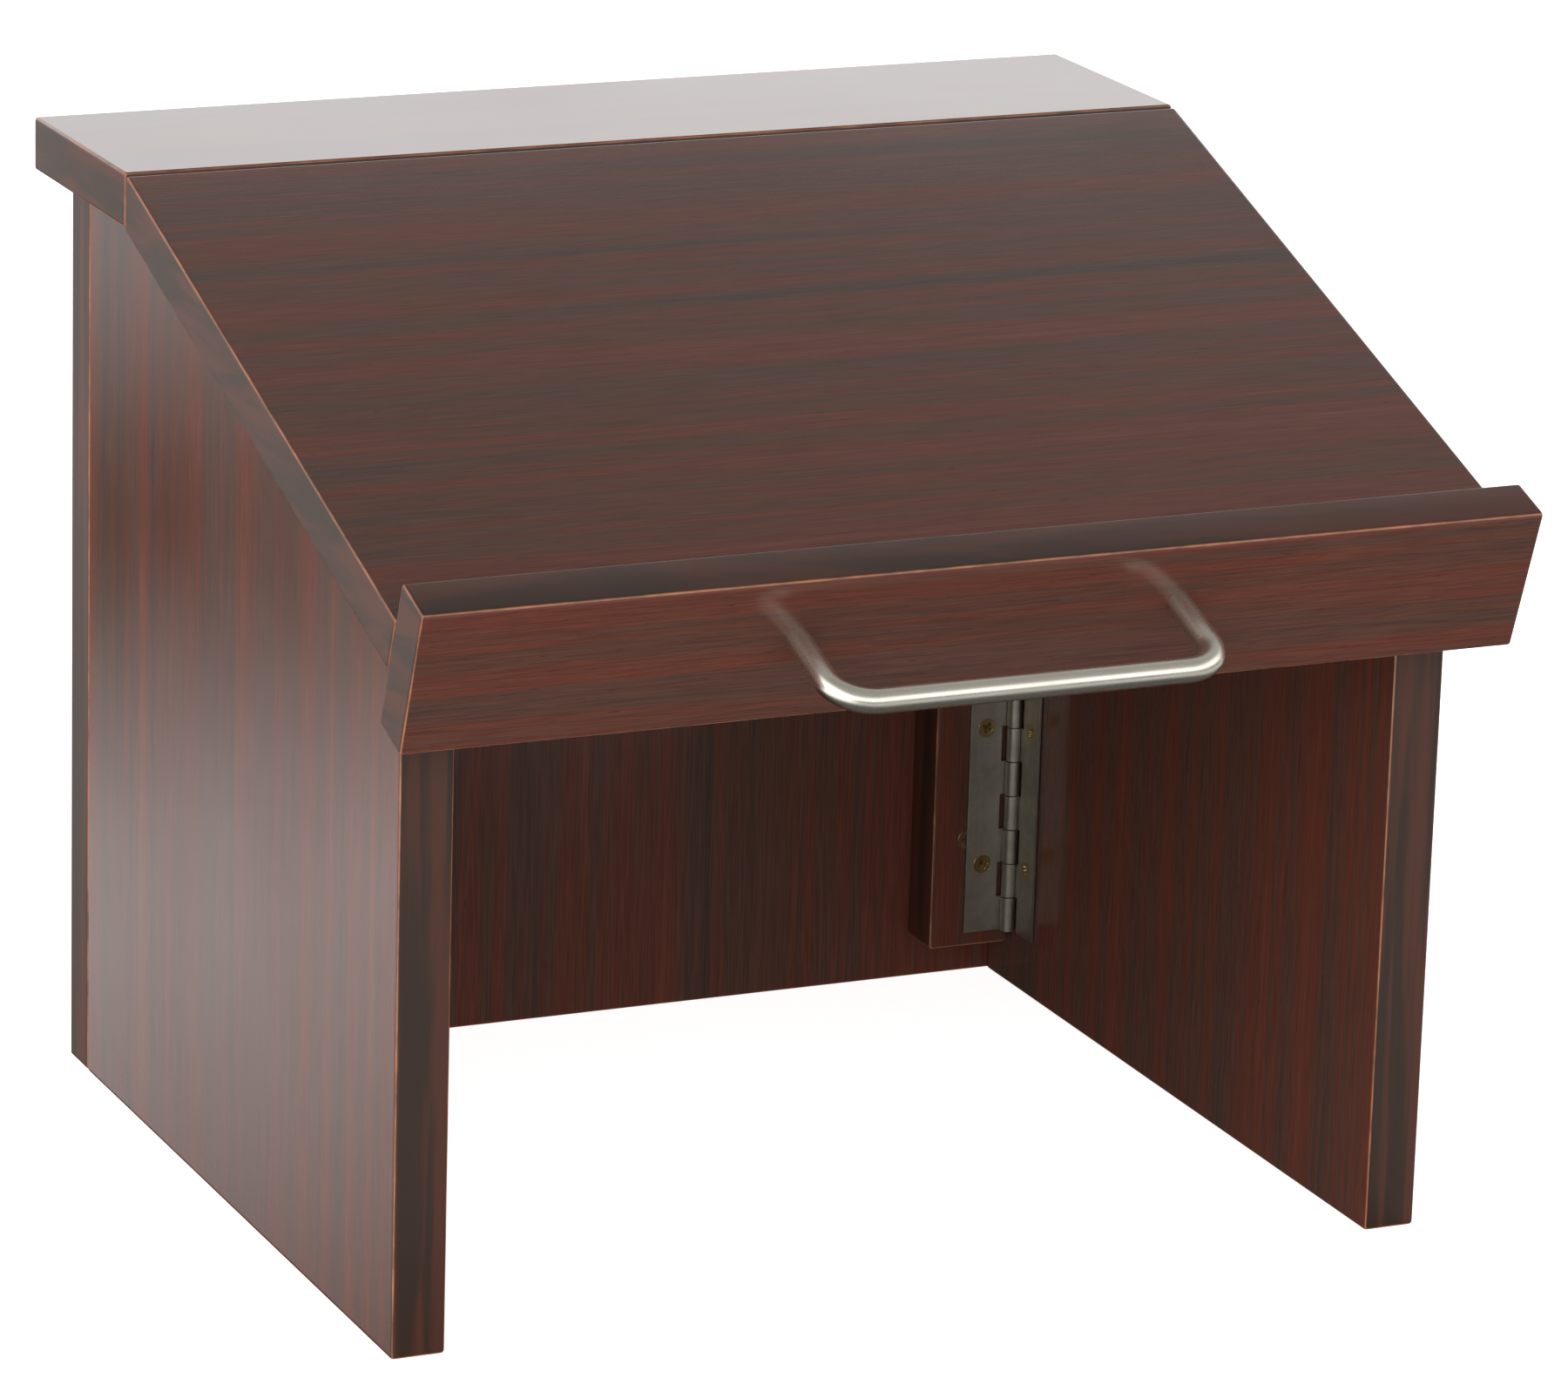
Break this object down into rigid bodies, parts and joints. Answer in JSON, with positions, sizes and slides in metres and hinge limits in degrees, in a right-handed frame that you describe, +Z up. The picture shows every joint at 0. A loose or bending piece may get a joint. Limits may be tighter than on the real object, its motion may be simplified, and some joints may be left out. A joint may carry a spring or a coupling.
{
  "type": "folding tabletop lectern",
  "caption": "Tabletop lectern with a sloped reading desk, ledge and pull handle on a back panel whose two hinged side panels fold in behind each other.",
  "frame": {"origin": "on the table, under the middle of the overall bounding box, pull handle included", "axes": "+Z up, +X to the reader's right, +Y away from the reader, towards the back panel"},
  "size_m": [0.381, 0.39, 0.33],
  "materials": {
    "mahogany_laminate": "semi-gloss mahogany-grain laminate with eased edges",
    "satin_steel": "satin",
    "hinge_steel": "satin, drawn along the barrel",
    "yellow_zinc": "yellow zinc plate",
    "bright_steel": "bright zinc plate",
    "beech": "plain turned beech"
  },
  "bodies": {
    "base": {"back_panel": "mahogany_laminate", "top_shelf": "mahogany_laminate", "hinge_batten": "mahogany_laminate", "left_hinge_fixed_leaf": "hinge_steel", "left_hinge_fixed_leaf_screw_1": "yellow_zinc", "left_hinge_fixed_leaf_screw_2": "yellow_zinc", "left_hinge_fixed_leaf_screw_3": "yellow_zinc", "left_hinge_fixed_leaf_screw_4": "yellow_zinc", "left_hinge_fixed_leaf_screw_5": "yellow_zinc", "right_hinge_fixed_leaf": "hinge_steel", "right_hinge_fixed_leaf_screw_1": "yellow_zinc", "right_hinge_fixed_leaf_screw_2": "yellow_zinc", "right_hinge_fixed_leaf_screw_3": "yellow_zinc", "right_hinge_fixed_leaf_screw_4": "yellow_zinc", "right_hinge_fixed_leaf_screw_5": "yellow_zinc", "desk_hinge_shelf_leaf": "hinge_steel", "desk_hinge_shelf_leaf_screw_1": "yellow_zinc", "desk_hinge_shelf_leaf_screw_2": "yellow_zinc", "desk_hinge_shelf_leaf_screw_3": "yellow_zinc", "desk_hinge_shelf_leaf_screw_4": "yellow_zinc", "desk_hinge_shelf_leaf_screw_5": "yellow_zinc", "left_hinge_pin": "hinge_steel", "right_hinge_pin": "hinge_steel", "desk_hinge_pin": "hinge_steel", "batten_screw_1": "yellow_zinc", "shelf_dowel_1": "beech", "batten_screw_2": "yellow_zinc", "shelf_dowel_2": "beech", "batten_screw_3": "yellow_zinc", "shelf_dowel_3": "beech"},
    "left_side": {"left_side_panel": "mahogany_laminate", "left_hinge_moving_leaf": "hinge_steel", "left_hinge_moving_leaf_screw_1": "yellow_zinc", "left_hinge_moving_leaf_screw_2": "yellow_zinc", "left_hinge_moving_leaf_screw_3": "yellow_zinc", "left_hinge_moving_leaf_screw_4": "yellow_zinc", "left_hinge_moving_leaf_screw_5": "yellow_zinc"},
    "right_side": {"right_side_panel": "mahogany_laminate", "right_hinge_moving_leaf": "hinge_steel", "right_hinge_moving_leaf_screw_1": "yellow_zinc", "right_hinge_moving_leaf_screw_2": "yellow_zinc", "right_hinge_moving_leaf_screw_3": "yellow_zinc", "right_hinge_moving_leaf_screw_4": "yellow_zinc", "right_hinge_moving_leaf_screw_5": "yellow_zinc"},
    "desk": {"reading_desk": "mahogany_laminate", "ledge_board": "mahogany_laminate", "pull_handle": "satin_steel", "desk_hinge_desk_leaf": "hinge_steel", "desk_hinge_desk_leaf_screw_1": "yellow_zinc", "desk_hinge_desk_leaf_screw_2": "yellow_zinc", "desk_hinge_desk_leaf_screw_3": "yellow_zinc", "desk_hinge_desk_leaf_screw_4": "yellow_zinc", "desk_hinge_desk_leaf_screw_5": "yellow_zinc", "ledge_dowel_1": "beech", "ledge_dowel_2": "beech", "ledge_dowel_3": "beech", "handle_screw_1": "bright_steel", "handle_screw_2": "bright_steel"}
  },
  "joints": [
    {"name": "left_fold", "type": "hinge", "parent": "base", "child": "left_side", "pos_m": [-0.15955, 0.16409, 0.1483], "axis": [0, 0, 1], "range_deg": [0, 90]},
    {"name": "right_fold", "type": "hinge", "parent": "base", "child": "right_side", "pos_m": [0.15955, 0.14509, 0.1483], "axis": [0, 0, -1], "range_deg": [0, 90]},
    {"name": "desk_lift", "type": "hinge", "parent": "base", "child": "desk", "pos_m": [0, 0.10304, 0.31465], "axis": [-1, 0, 0], "range_deg": [0, 2.5]}
  ]
}
